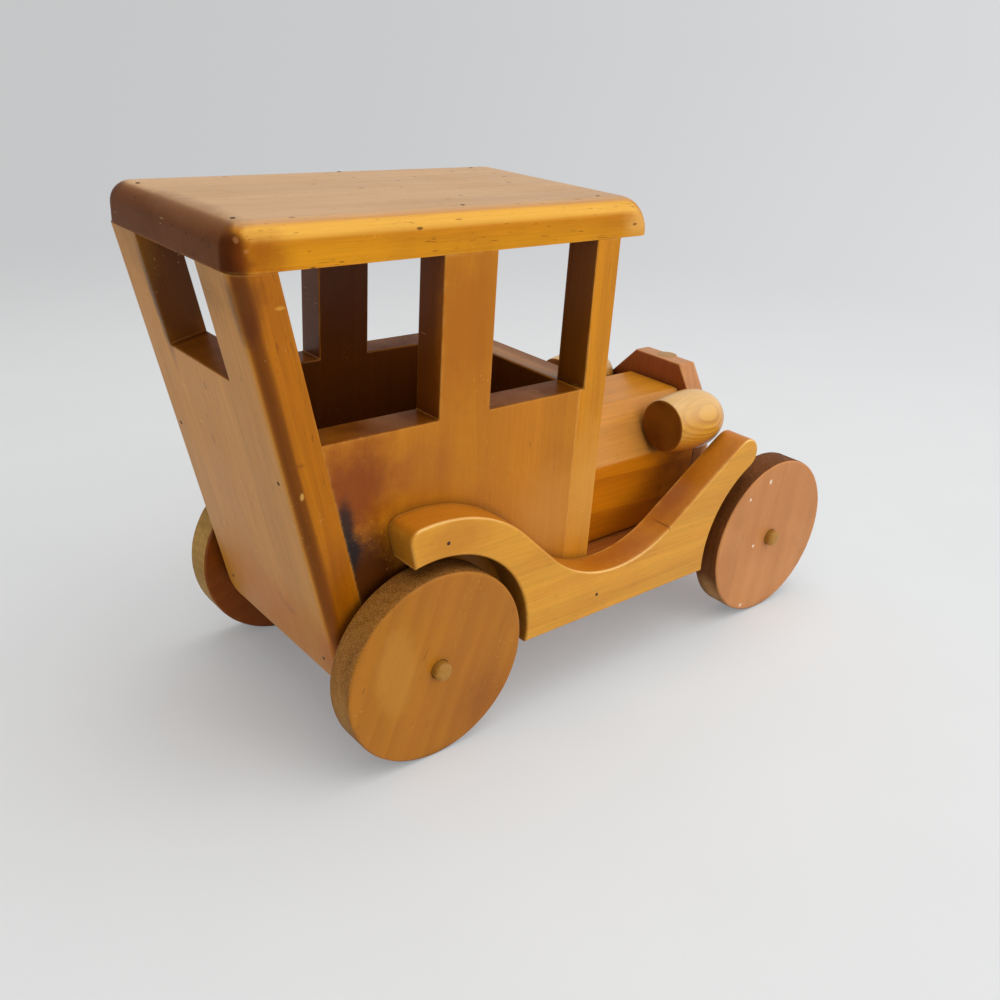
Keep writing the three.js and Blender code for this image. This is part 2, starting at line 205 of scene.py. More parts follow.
def woodFinish(name, **changes):
    look = {**pine, **changes}
    material = bpy.data.materials.new(name)
    material.use_nodes = True
    tree = material.node_tree
    tree.nodes.clear()
    coordinates = put(tree, "ShaderNodeTexCoord", {}, {})
    place, facing = coordinates.outputs["Object"], coordinates.outputs["Normal"]
    turn = Euler([math.radians(angle) for angle in look["turn"]])
    lengthways = put(tree, "ShaderNodeMapping", {}, {
        "Vector": place, "Rotation": turn, "Location": tuple(-value for value in look["heart"])}).outputs[0]
    moved = vectors(tree, "ADD", lengthways, look["seed"])

    # growth rings about the tree's heart, drawn out along the grain
    drawn = vectors(tree, "MULTIPLY", lengthways, (0.08, 1, 1))
    sway = vectors(tree, "MULTIPLY", moved, (3.5, 11, 11))
    wander = put(tree, "ShaderNodeTexNoise", {}, {"Vector": sway, "Scale": 1.0, "Detail": 2.0})
    bend = put(tree, "ShaderNodeVectorMath", {"operation": "SCALE"},
               {0: vectors(tree, "SUBTRACT", wander.outputs[1], (0.5, 0.5, 0.5)), 3: look["ringBend"] * 2.5})
    rings = put(tree, "ShaderNodeTexWave", {"wave_type": "RINGS", "rings_direction": "X",
                                            "wave_profile": "SAW"},
                {"Vector": vectors(tree, "ADD", drawn, bend.outputs[0]), "Scale": 314.16 / look["ringGap"],
                 "Distortion": look["ringTwist"], "Detail": 2.0, "Detail Scale": 0.6}).outputs[1]
    lateWood = maths(tree, "MULTIPLY", ranged(tree, rings, 0.25, 0.97), look["ringShare"])

    # long fibres, short dark flecks, cloudy patina
    fibre = cloud(tree, vectors(tree, "MULTIPLY", moved, (16, 620, 620)), 1.0, 4.0, 0.65)
    fine = cloud(tree, vectors(tree, "MULTIPLY", moved, (60, 1900, 1900)), 1.0, 2.0, 0.6)
    fleck = ranged(tree, cloud(tree, vectors(tree, "MULTIPLY", moved, (130, 1000, 1000)), 1.0, 1.0), 0.69,
                   0.77)
    patina = ranged(tree, cloud(tree, moved, 17.0, 4.0, 0.6), 0.42, 0.68)
    drift = cloud(tree, vectors(tree, "MULTIPLY", moved, (4, 42, 42)), 1.0, 2.0)

    colour = mixed(tree, lateWood, tone(*look["light"]), tone(*look["dark"]))
    colour = mixed(tree, maths(tree, "MULTIPLY", patina, look["patinaShare"]), colour, tone(*look["patina"]))

    # sides coloured by the way they face, mostly painted light and shade (lit tops, painted highlights, shaded
    # backs and insides), and end grain, which took the stain in its own way
    for side in look["faces"]:
        share = ranged(tree, vectors(tree, "DOT_PRODUCT", facing, Vector(side["way"]).normalized()),
                       side["from"], side["to"], 0.0, side["share"])
        colour = mixed(tree, share, colour, tone(*side["colour"]))
    along = turn.to_matrix().transposed() @ Vector((1, 0, 0))
    across = maths(tree, "ABSOLUTE", vectors(tree, "DOT_PRODUCT", facing, along))
    thirsty = maths(tree, "MULTIPLY", ranged(tree, across, 0.35, 0.97, 0.0, look["end"]),
                    ranged(tree, drift, 0.2, 0.7, 1.0, 0.75))
    colour = mixed(tree, thirsty, colour, tone(*look["endColour"]))

    streak = ranged(tree, fibre, 0.3, 0.72, 1.0 + 0.35 * look["fibre"], 1.0 - 0.75 * look["fibre"])
    thin = ranged(tree, fine, 0.3, 0.7, 1.0 + 0.2 * look["fibre"], 1.0 - 0.4 * look["fibre"])
    slow = ranged(tree, drift, 0.3, 0.7, 0.94, 1.06)
    level = maths(tree, "MULTIPLY", maths(tree, "MULTIPLY", streak, thin), slow)
    grey = put(tree, "ShaderNodeCombineColor", {}, {0: level, 1: level, 2: level}).outputs[0]
    colour = mixed(tree, 1.0, colour, grey, "MULTIPLY")
    colour = mixed(tree, maths(tree, "MULTIPLY", fleck, look["fleck"]), colour, tone(*look["fleckColour"]))

    # stains, knots, bleached places, painted shadows and painted shade, each a soft ellipsoid with a ragged
    # rim
    ragged = cloud(tree, place, 95.0, 4.0, 0.65)
    for spot in look["spots"]:
        away = vectors(tree, "SUBTRACT", place, tuple(value * 0.001 for value in spot["at"]))
        away = vectors(tree, "DIVIDE", away, tuple(value * 0.001 for value in spot["size"]))
        rag = spot["rag"]
        reach = maths(tree, "ADD", vectors(tree, "LENGTH", away), maths(tree, "MULTIPLY", ragged, rag))
        share = ranged(tree, reach, spot["core"] + rag / 2, 1.0 + rag / 2, spot["share"], 0.0)
        colour = mixed(tree, share, colour, tone(*spot["colour"]))

    # rough sanding, and short pale scratches that lie in patches
    grit = ranged(tree, cloud(tree, place, 1900.0, 2.0), 0.46, 0.62)
    colour = mixed(tree, maths(tree, "MULTIPLY", grit, look["sand"]), colour, tone(*look["sandColour"]))
    skewed = put(tree, "ShaderNodeMapping", {}, {"Vector": place, "Rotation": (0.5, 0.9, 0.4),
                                                 "Scale": (1400, 110, 800)}).outputs[0]
    scratch = maths(tree, "MULTIPLY", ranged(tree, cloud(tree, skewed, 1.0, 1.0), 0.7, 0.76),
                    ranged(tree, cloud(tree, place, 40.0, 2.0), 0.52, 0.6))
    colour = mixed(tree, maths(tree, "MULTIPLY", scratch, look["scuff"]), colour, tone(*look["scuffColour"]))

    # varnish rubbed thin on the edges; in the corners, painted shade where parts close in, together with grime
    # and thick varnish
    straight = put(tree, "ShaderNodeNewGeometry", {}, {}).outputs["Normal"]
    softened = put(tree, "ShaderNodeBevel", {"samples": 4}, {"Radius": look["wearWidth"]}).outputs[0]
    edge = maths(tree, "SUBTRACT", 1.0, vectors(tree, "DOT_PRODUCT", straight, softened))
    rubbed = maths(tree, "MULTIPLY", ranged(tree, edge, 0.015, 0.16), ranged(tree, ragged, 0.34, 0.62))
    colour = mixed(tree, maths(tree, "MULTIPLY", rubbed, look["wear"]), colour, tone(*look["wearColour"]))
    # painted shade from an occlusion test, partly grime and thick varnish
    shut = put(tree, "ShaderNodeAmbientOcclusion", {"samples": 4},
               {"Distance": look["grimeAndShadeReach"]}).outputs[1]
    corner = ranged(tree, shut, 0.25, 0.8, look["grimeAndShade"], 0.0)
    colour = mixed(tree, corner, colour, tone(*look["grimeAndShadeColour"]))

    # small dark specks from years of play
    dot = put(tree, "ShaderNodeTexVoronoi", {}, {"Vector": vectors(tree, "MULTIPLY", moved, (0.4, 1, 1)),
                                                 "Scale": 150.0, "Randomness": 1.0})
    pick = put(tree, "ShaderNodeSeparateColor", {}, {0: dot.outputs["Color"]})
    speck = maths(tree, "MULTIPLY", ranged(tree, dot.outputs["Distance"], 0.07, 0.13, 1.0, 0.0),
                  maths(tree, "GREATER_THAN", pick.outputs[0], 1.0 - look["speckShare"]))
    colour = mixed(tree, maths(tree, "MULTIPLY", speck, look["specks"]), colour, tone(*look["speckColour"]))

    height = maths(tree, "ADD", maths(tree, "MULTIPLY", fibre, -0.6), maths(tree, "MULTIPLY", fleck, -0.8))
    height = maths(tree, "ADD", height, maths(tree, "MULTIPLY", rings, 0.3))
    height = maths(tree, "ADD", height, maths(tree, "MULTIPLY", speck, -1.2))
    height = maths(tree, "ADD", height, maths(tree, "MULTIPLY", cloud(tree, place, 55.0, 2.0), 1.6))
    uneven = put(tree, "ShaderNodeBump", {}, {"Strength": look["bump"], "Distance": 0.0006, "Height": height})
    sheen = maths(tree, "ADD", look["rough"] - 0.1, maths(tree, "MULTIPLY", fibre, 0.12))
    sheen = maths(tree, "ADD", sheen, maths(tree, "MULTIPLY", patina, 0.06))
    sheen = maths(tree, "ADD", sheen, maths(tree, "MULTIPLY", rubbed, 0.1), True)
    shiny = maths(tree, "SUBTRACT", 1.0, thirsty)  # end grain stays dull
    gloss = maths(tree, "MULTIPLY", shiny, look["gloss"])
    shader = put(tree, "ShaderNodeBsdfPrincipled", {}, {
        "Base Color": colour, "Roughness": sheen, "Normal": uneven.outputs[0], "Specular IOR Level": gloss})
    put(tree, "ShaderNodeOutputMaterial", {}, {"Surface": shader.outputs[0]})
    return material


# the roof board
roofShape = {"round": 10.0, "frontRound": 18.5, "under": 1.2}
roofLook = {"light": (208, 138, 22), "dark": (180, 102, 12), "ringShare": 0.4, "ringGap": 9.0,
            "heart": (0, 0.05, 0.16), "fleck": 0.55,
            "wear": 0.3, "rough": 0.36, "end": 0.3, "endColour": (106, 56, 20), "fibre": 0.1, "gloss": 0.06,
            "specks": 0.75, "speckShare": 0.4,
            # painted light and shade: a paler lit top, a painted highlight along each side's top rounding, and
            # painted shade on the rear rounding, rear face and rear corners
            "faces": (tint((0, 0, 1), 0.72, 0.99, (198, 158, 116), 0.88),
                      tint((0, -0.8, 0.6), 0.9, 1.0, (240, 186, 84), 0.65),
                      tint((0, 0.8, 0.6), 0.9, 1.0, (240, 186, 84), 0.65),
                      tint((-0.7, 0, 0.7), 0.86, 0.99, (112, 64, 28), 0.75),
                      tint((-1, 0, 0.2), 0.5, 0.95, (106, 54, 8), 0.94),
                      tint((-0.78, -0.6, 0.1), 0.7, 0.94, (66, 22, 1), 0.94),
                      tint((-0.78, 0.6, 0.1), 0.8, 0.96, (72, 26, 2), 0.8)),
            "spots": (mark((-200, -20, 268), (13, 60, 8), (128, 82, 46), 0.45),
                      mark((-203, 56, 266), (10, 9, 8), (76, 40, 18), 0.55),
                      mark((-199, -60, 254), (9, 8, 6), (70, 28, 6), 0.6),
                      mark((-192, -64, 257), (18, 7, 16), (138, 64, 6), 0.7, core=0.0),
                      mark((17, -63.5, 257), (14, 6, 11), (236, 182, 100), 0.5, core=0.1),
                      mark((-200, -61, 263), (1.2, 3, 1.6), (190, 128, 74), 0.4),
                      mark((-197, -62.5, 259), (1.4, 2, 1.2), (190, 128, 74), 0.4))}


def makeRoof():
    low, high = (corner * 1000 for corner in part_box("roof"))
    high.z -= nailShape["proud"]
    bm = bmesh.new()
    bmesh.ops.create_cube(bm, size=1.0)
    bmesh.ops.scale(bm, vec=(high - low) * 0.001, verts=bm.verts)
    bmesh.ops.translate(bm, vec=(high + low) * 0.0005, verts=bm.verts)
    roundOver(bm, edgesWhere(bm, lambda spot: spot.x > high.x - 0.1 and spot.z > high.z - 0.1),
              roofShape["frontRound"], 14)
    roundOver(bm, edgesWhere(bm, lambda spot: spot.z > low.z + 0.1), roofShape["round"], 8)
    roundOver(bm, edgesWhere(bm, lambda spot: spot.z < low.z + 0.01), roofShape["under"], 3)
    finished(bm, "roofBoard", "car_body", woodFinish("roofPine", **roofLook), "roof")


# the leaning back board with its window notch
backShape = {"windowHalf": 30.0, "windowHeight": 47.5, "edgeRound": 7.0, "corner": 13.0, "ease": 0.9}
backLook = {"turn": (0, 90 + math.degrees(shared["backLean"]), 0), "heart": (0, 0.012, 0.06),
            "light": (174, 102, 6), "dark": (156, 84, 4), "fibre": 0.16, "fleck": 0.4, "speckShare": 0.15,
            "gloss": 0.12, "ringGap": 8.0, "wear": 0.2, "end": 0.75, "endColour": (92, 54, 24),
            # painted shade on the rounded side edges, the inner face and the far edge; the outer back face is
            # painted lighter as painted light and reflection
            "faces": (tint((-0.55, -0.83, -0.13), 0.8, 1.0, (88, 38, 2), 0.76),
                      tint((-0.55, 0.83, -0.13), 0.8, 1.0, (88, 38, 2), 0.76),
                      tint((-0.973, 0, -0.23), 0.86, 0.995, (202, 138, 54), 0.92),
                      tint((0.973, 0, 0.23), 0.8, 0.97, (92, 46, 16), 0.8),
                      tint((0, 1, 0), 0.8, 0.97, (112, 58, 18), 0.5)),
            # the first spot is painted shade on the far window jamb
            "spots": (mark((-188, 30, 226), (30, 7, 46), (86, 46, 12), 0.95, rag=0.3),
                      mark((-161.6, -22, 71.5), (5, 8, 4), (112, 80, 66), 0.65),
                      mark((-162, -15, 75), (5, 3, 5), (112, 80, 66), 0.6),
                      mark((-188.6, 1, 186), (3, 1, 3.4), (110, 70, 34), 0.7, rag=0.3),
                      mark((-181.3, 12, 154.5), (3, 0.9, 4), (120, 80, 40), 0.6, rag=0.3),
                      mark((-198, -60, 238), (12, 8, 24), (86, 38, 8), 0.6),
                      mark((-158, -54, 60), (14, 18, 26), (178, 94, 30), 0.6, core=0.1),
                      mark((-160, 0, 64), (20, 80, 44), (194, 112, 6), 0.8, core=0.1),
                      mark((-202, 0, 246), (16, 80, 34), (130, 86, 26), 0.7, core=0.1),
                      mark((-158, -64, 100), (14, 8, 40), (124, 60, 4), 0.55, core=0.1),
                      mark((-176, -63.5, 152), (1.2, 2, 2.4), (226, 176, 92), 0.6, rag=0.8),
                      mark((-184, -63.5, 236), (3.2, 2, 1.2), (214, 156, 64), 0.5, rag=0.9),
                      mark((-178, -63.5, 167), (5, 2, 1.4), (128, 70, 14), 0.6, rag=0.5))}


def makeBack():
    lean = shared["backLean"]
    half, window = shared["halfBody"], backShape["windowHalf"]
    rise = (shared["roofBottom"] - shared["floorBottom"]) / math.cos(lean)
    sill = rise - backShape["windowHeight"] / math.cos(lean)
    top = rise + shared["board"]
    bm = sawn([(0, -half, 0), (0, half, 0), (0, half, top), (0, window, top), (0, window, sill),
               (0, -window, sill), (0, -window, top), (0, -half, top)], (-shared["board"], 0, 0))
    corners = [edge for edge in bm.edges
               if all(vert.co.z < 1e-6 and abs(vert.co.y) > 0.06 for vert in edge.verts)
               and abs(edge.verts[0].co.x - edge.verts[1].co.x) > 0.01]
    roundOver(bm, corners, backShape["corner"], 8)
    rim = edgesWhere(bm, lambda spot: spot.x < 0.1 - shared["board"]
                      and (abs(spot.y) > half - 0.1 or spot.z < backShape["corner"] + 0.1), 60)
    roundOver(bm, rim, backShape["edgeRound"], 7)
    easeEdges(bm, backShape["ease"], 3, lambda spot: abs(spot.y) < window + 1 and spot.z > sill - 1)
    bmesh.ops.rotate(bm, cent=(0, 0, 0), matrix=Matrix.Rotation(-lean, 3, "Y"), verts=bm.verts)
    bmesh.ops.translate(bm, vec=at(backFace(shared["floorBottom"]), 0, shared["floorBottom"]), verts=bm.verts)
    cutOff(bm, (0, 0, underRoof), (0, 0, 1))
    cutOff(bm, (0, 0, shared["floorBottom"]), (0, 0, -1))
    finished(bm, "backBoard", "car_body", woodFinish("backPine", **backLook), "back_panel")


# the two side boards
sideShape = {"postRear": -109.4, "postFront": -79.0, "ease": 0.8}
sideLook = {"turn": (0, 90, 0), "heart": (0, 0.04, 0.05), "light": (188, 117, 18), "dark": (166, 94, 10),
            "patina": (166, 92, 24), "ringGap": 9.0, "ringShare": 0.22, "fibre": 0.08, "end": 0.9,
            "endColour": (94, 44, 8), "gloss": 0.16,
            "spots": (mark((-150, -64, 148), (36, 9, 42), (122, 52, 10), 0.88, core=0.2, rag=0.6),
                      # the next spot is the painted shadow of the fender's rear tip
                      mark((-142, -64, 103), (30, 9, 32), (66, 26, 3), 0.95, core=0.3),
                      mark((-155, -64, 131), (7.5, 8, 20), (40, 27, 25), 0.92, core=0.3),
                      mark((-151.5, -64, 117), (8, 8, 16), (34, 25, 25), 0.96, core=0.3),
                      mark((-152, 64, 140), (24, 9, 34), (134, 66, 24), 0.5),
                      mark((-112, -64, 150), (26, 9, 22), (150, 80, 24), 0.35),
                      mark((-28, -64, 104), (36, 9, 44), (204, 142, 66), 0.35, core=0.1),
                      mark((-90, -64, 216), (30, 9, 54), (164, 92, 8), 0.75, core=0.2))}
# painted shade on the jambs and board ends that face back and forward
jambShadeFaces = (tint((-1, 0, 0), 0.8, 0.97, (88, 34, 6), 0.84),
             tint((1, 0, 0), 0.8, 0.97, (120, 64, 20), 0.6))


def makeSide(name, side):
    bottom = shared["floorTop"] + shared["seam"]
    front = frontFace - shared["board"] - shared["seam"]
    slip = shared["seam"] / math.cos(shared["backLean"])
    rear, sill, top = frontFace + sideShape["postRear"], shared["sill"], underRoof
    ahead = frontFace + sideShape["postFront"]
    inner = side * (shared["halfBody"] - shared["board"])
    line = [(backFace(bottom) + slip, bottom), (front, bottom), (front, sill), (ahead, sill), (ahead, top),
            (rear, top), (rear, sill), (backFace(sill) + slip, sill)]
    bm = sawn([(x, inner, z) for x, z in line], (0, side * shared["board"], 0))
    easeEdges(bm, sideShape["ease"], 3, lambda spot: sill - 0.1 < spot.z < top - 0.1
              and backFace(sill) + 1 < spot.x < front - 0.1)
    # painted shade on the inner face, inside the cab
    insideShade = (tint((0, -side, 0), 0.8, 0.97, (74, 26, 6), 0.88),)
    material = woodFinish("sidePine." + name, **sideLook, faces=jambShadeFaces + insideShade)
    finished(bm, "sideBoard." + name, "car_body", material, "side_panel_" + name)


# the front board, whose posts are pared back behind the windshield
frontShape = {"post": 20.7, "pare": 3.0, "ease": 0.8}
frontLook = {"turn": (0, 90, 0), "heart": (0, 0.02, -0.06), "light": (198, 126, 10), "dark": (182, 108, 8),
             "patina": (180, 104, 18), "ringGap": 7.0, "end": 0.7, "endColour": (108, 54, 10), "gloss": 0.16,
             # painted shade on the faces that turn back into the cab
             "faces": (tint((-1, 0, 0), 0.8, 0.97, (90, 42, 10), 0.85),),
             "spots": (mark((0, -64, 112), (30, 9, 60), (212, 154, 72), 0.45, core=0.1),)}


def makeFront():
    half, sill, top = shared["halfBody"], shared["sill"], underRoof
    opening, bottom = half - frontShape["post"], shared["floorTop"] + shared["seam"]
    line = [(-half, bottom), (half, bottom), (half, top), (opening, top), (opening, sill),
            (-opening, sill), (-opening, top), (-half, top)]
    depth = shared["board"] - frontShape["pare"]
    bm = sawn([(frontFace, y, z) for y, z in line], (-depth, 0, 0))
    bmesh.ops.bisect_plane(bm, geom=list(bm.verts) + list(bm.edges) + list(bm.faces), dist=1e-7,
                           plane_co=at(0, 0, sill), plane_no=(0, 0, 1))
    rearX = (frontFace - depth) * 0.001
    lower = [face for face in bm.faces
             if face.normal.x < -0.9 and abs(face.calc_center_median().x - rearX) < 1e-6
             and face.calc_center_median().z < sill * 0.001]
    pushOut(bm, lower, (-frontShape["pare"], 0, 0))
    bmesh.ops.dissolve_limit(bm, angle_limit=0.01, verts=bm.verts, edges=bm.edges)
    rearMost = frontFace - shared["board"] + 0.1
    easeEdges(bm, frontShape["ease"], 3, lambda spot: bottom + 1 < spot.z < top - 1
              and (spot.x > rearMost or spot.z > sill - 0.1))
    finished(bm, "frontBoard", "car_body", woodFinish("frontPine", **frontLook), "front_panel")


# the floor board, bored across for the axles
floorShape = {"ease": 0.8, "bore": 10.8, "drillReach": 80.0, "drillSteps": 40}
floorLook = {"heart": (0, 0.03, 0.09), "light": (166, 94, 32), "dark": (130, 66, 20), "wear": 0.4,
             "rough": 0.42}


def makeFloor():
    half, low, high = shared["halfBody"], shared["floorBottom"], shared["floorTop"]
    slip = shared["seam"] / math.cos(shared["backLean"])
    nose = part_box("floor_board")[1].x * 1000
    line = [(backFace(low) + slip, low), (nose, low), (nose, high), (backFace(high) + slip, high)]
    bm = sawn([(x, -half, z) for x, z in line], (0, 2 * half, 0))
    easeEdges(bm, floorShape["ease"], 3)
    board = finished(bm, "floorBoard", "car_body", woodFinish("floorPine", **floorLook),
                     "floor_board")
    for axle in ("axle_rear", "axle_front"):
        low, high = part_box(axle)
        spot = (low + high) * 500
        radius, reach = floorShape["bore"] / 2, floorShape["drillReach"]
        drill = turned([(0, -reach), (radius, -reach), (radius, reach), (0, reach)], spot, (0, 1, 0),
                       floorShape["drillSteps"])
        mesh = bpy.data.meshes.new("drill")
        drill.to_mesh(mesh)
        drill.free()
        bit = bpy.data.objects.new("drill", mesh)
        bpy.context.scene.collection.objects.link(bit)
        bore = board.modifiers.new("bore", "BOOLEAN")
        bore.object, bore.operation, bore.solver = bit, "DIFFERENCE", "EXACT"
        board.modifiers.move(len(board.modifiers) - 1, 0)
        bpy.context.view_layer.update()
        bored = bpy.data.meshes.new_from_object(board.evaluated_get(bpy.context.evaluated_depsgraph_get()))
        board.modifiers.remove(bore)
        board.data = bored
        bpy.data.objects.remove(bit)


# the hood block
hoodShape = {"half": 40.0, "topHalf": 20.0, "side": 49.0, "height": 78.5, "length": 113.0, "ease": 1.2}
hoodLook = {"heart": (0, 0.02, 0.055), "light": (208, 122, 10), "dark": (158, 78, 4), "patina": (188, 104, 8),
            "ringGap": 11.0, "ringShare": 0.5, "fibre": 0.14, "fleck": 0.3, "gloss": 0.2,
            # painted light: painted highlights on the sloping cheeks and a lighter top
            "faces": (tint((0, -0.65, 0.76), 0.75, 0.96, (208, 150, 74), 0.6),
                      tint((0, 0, 1), 0.9, 0.99, (200, 134, 34), 0.65),
                      tint((0, 0.65, 0.76), 0.75, 0.96, (208, 150, 74), 0.6)),
            "spots": (mark((39, -38, 127), (7, 6, 6), (120, 56, 12), 0.7),
                      # the next two spots are painted shadow: low on the side by the radiator, and under the
                      # lamp
                      mark((112, -42, 84), (46, 10, 44), (84, 34, 2), 0.8, core=0.1),
                      mark((112, -36, 114), (20, 14, 12), (110, 52, 8), 0.6, core=0.1))}


def makeHood():
    base, gap = shared["floorTop"], shared["seam"]
    half, topHalf = hoodShape["half"], hoodShape["topHalf"]
    line = [(-half, base + gap), (half, base + gap), (half, base + hoodShape["side"]),
            (topHalf, base + hoodShape["height"]), (-topHalf, base + hoodShape["height"]),
            (-half, base + hoodShape["side"])]
    bm = sawn([(frontFace + gap, y, z) for y, z in line], (hoodShape["length"] - 2 * gap, 0, 0))
    easeEdges(bm, hoodShape["ease"], 3)
    finished(bm, "hoodBlock", "car_body", woodFinish("hoodPine", **hoodLook), "hood")


# the radiator board, its top corners sawn off by eye, and the peg in its top
radiatorShape = {"half": 40.0, "topHalf": 18.75, "height": 93.5, "leftCut": 21.5, "rightCut": 33.0,
                 "round": 8.0, "ease": 1.0}
radiatorLook = {"turn": (0, 90, 0), "heart": (0, 0.01, -0.04), "light": (192, 128, 74), "dark": (158, 98, 52),
                "patina": (156, 92, 48), "ringGap": 5.0, "endColour": (190, 128, 78), "end": 0.5,
                # painted shade: low on the radiator's side between lamp and fender, and on its rear face
                "spots": (mark((122, -42, 92), (12, 10, 36), (84, 32, 3), 0.8, core=0.3),),
                "faces": (tint((-1, 0, 0), 0.8, 0.97, (134, 62, 14), 0.8),)}
capShape = {"radius": 6.5, "depth": 20.0, "proud": 0.15, "ease": 0.5, "steps": 40}
dowelLook = {"turn": (0, 0, -90), "light": (172, 122, 46), "dark": (136, 86, 24), "patina": (146, 92, 28),
             "ringGap": 1.6, "heart": (0, 0.004, 0.002), "wear": 0.2, "specks": 0.5, "fleck": 0.5,
             "grimeAndShade": 0.5, "end": 0.3, "endColour": (162, 116, 50)}


def makeRadiator():
    base, rear = shared["floorTop"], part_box("radiator")[0].x * 1000
    half, topHalf, top = radiatorShape["half"], radiatorShape["topHalf"], base + radiatorShape["height"]
    line = [(-half, base + shared["seam"]), (half, base + shared["seam"]),
            (half, top - radiatorShape["leftCut"]),
            (topHalf, top), (-topHalf, top), (-half, top - radiatorShape["rightCut"])]
    bm = sawn([(rear, y, z) for y, z in line], (shared["board"], 0, 0))
    front = rear + shared["board"]
    rim = edgesWhere(bm, lambda spot: spot.x > front - 0.01 and spot.z > base + 1)
    roundOver(bm, rim, radiatorShape["round"], 7)
    easeEdges(bm, radiatorShape["ease"], 3, lambda spot: spot.x < rear + 0.1)
    finished(bm, "radiatorBoard", "car_body", woodFinish("radiatorWood", **radiatorLook),
             "radiator")
    low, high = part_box("radiator_cap_peg")
    spot = (low + high) * 500
    spot.z = high.z * 1000
    radius, proud = capShape["radius"], capShape["proud"]
    depth = capShape["depth"]
    bm = turned([(0, -depth), (radius, -depth), (radius, proud), (0, proud)], spot, (0, 0, 1),
                capShape["steps"])
    roundOver(bm, edgesWhere(bm, lambda place: place.z > spot.z), capShape["ease"], 3)
    finished(bm, "capPeg", "car_body", dowelFinish, "radiator_cap_peg")


# the turned headlights
lampShape = {"length": 43.0, "radius": 18.4, "rearRadius": 15.7, "widest": 24.7, "nose": 24.3, "flat": 0.8,
             "seatUp": 12.6, "rearEase": 0.8, "frontEase": 1.2, "rings": 16, "steps": 72}
lampLook = {"light": (212, 154, 54), "dark": (164, 94, 18), "patina": (196, 122, 26), "patinaShare": 0.3,
            "ringGap": 1.5, "ringBend": 0.0015, "ringTwist": 0.3, "ringShare": 0.55, "fibre": 0.08,
            # dark end grain, which on the rear face also stands for painted shade
            "rough": 0.26, "end": 0.98, "endColour": (72, 20, 1),
            # a painted highlight over the top and painted shade underneath
            "faces": (tint((0.1, 0, 1), 0.1, 0.9, (222, 188, 134), 0.6),
                      tint((-0.3, 0, -1), 0.0, 0.85, (168, 88, 8), 0.75))}


def makeLamp(name, side):
    base = shared["floorTop"]
    lower = Vector((0, side * hoodShape["half"], base + hoodShape["side"]))
    upper = Vector((0, side * hoodShape["topHalf"], base + hoodShape["height"]))
    up = (upper - lower).normalized()
    out = Vector((0, side * up.z, -side * up.y))
    seat = lower + up * lampShape["seatUp"]
    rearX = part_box("headlight_" + name)[0].x * 1000
    axis = seat + out * (lampShape["radius"] - lampShape["flat"] + shared["seam"])
    profile = [(0, 0)]
    for step in range(lampShape["rings"] + 1):
        along = lampShape["length"] * step / lampShape["rings"]
        behind = max(1 - along / lampShape["widest"], 0)
        ahead = max(along - lampShape["widest"], 0) / lampShape["nose"]
        profile.append((lampShape["radius"] * math.sqrt(1 - ahead * ahead)
                        - (lampShape["radius"] - lampShape["rearRadius"]) * behind * behind, along))
    profile.append((0, lampShape["length"]))
    bm = turned(profile, (rearX, axis.y, axis.z), (1, 0, 0), lampShape["steps"])
    roundOver(bm, edgesWhere(bm, lambda spot: spot.x < rearX + 0.1), lampShape["rearEase"], 3)
    roundOver(bm, edgesWhere(bm, lambda spot: spot.x > rearX + lampShape["length"] - 0.1),
              lampShape["frontEase"], 3)
    face = seat + out * shared["seam"]
    cutOff(bm, (face.x, face.y, face.z), -out)
    finished(bm, "headlight." + name, "car_body", lampFinish[name], "headlight_" + name)


# the fenders, each sawn in one piece with its running board
fenderShape = {"band": 20.0, "rearArch": 59.5, "frontArch": 63.0, "rearEnd": 103.5, "frontEnd": 119.0,
               "bottom": 45.0, "runningBoard": 26.0, "dipShare": 0.47, "dipEase": 2.8,
               "outerRound": 3.6, "tipRound": 6.0, "innerEase": 0.5}
fenderLook = {"heart": (0, 0.0, 0.12), "light": (208, 144, 36), "dark": (190, 118, 22),
              "patina": (190, 114, 24), "ringGap": 9.0, "fibre": 0.12, "end": 0.6, "endColour": (136, 74, 20),
              "wear": 0.75, "wearColour": (232, 178, 92), "wearWidth": 0.003,
              # tops a deeper orange, a pale band along both top roundings that is partly wear and partly
              # painted highlight, and painted shade underneath
              "faces": (tint((0, 0, 1), 0.35, 0.85, (186, 106, 16), 0.75),
                        tint((0, -0.7, 0.7), 0.88, 0.99, (244, 198, 118), 0.75),
                        tint((0, 0.7, 0.7), 0.88, 0.99, (244, 198, 118), 0.75),
                        tint((0, 0, -1), 0.3, 0.8, (84, 38, 12), 0.8)),
              "spots": (mark((52.6, -77, 84.4), (0.5, 11, 5), (84, 38, 12), 0.7, core=0.4, rag=0.1),
                        mark((66, -69, 98), (34, 14, 30), (140, 70, 22), 0.6, core=0.1),
                        mark((-105, -83, 119), (32, 7, 22), (180, 110, 22), 0.6, core=0.1),
                        mark((22, -72, 74), (44, 16, 16), (146, 70, 10), 0.5, core=0.2))}


def sweepOn(bm, vert, centre, degrees, steps):
    # carries an outline on round a centre; degrees count up from +X to +Z
    made = bmesh.ops.spin(bm, geom=[vert], cent=centre, axis=(0, 1, 0), dvec=(0, 0, 0),
                          angle=-math.radians(degrees), steps=steps, use_merge=False, use_duplicate=False)
    return [item for item in made["geom_last"] if isinstance(item, bmesh.types.BMVert)][0]


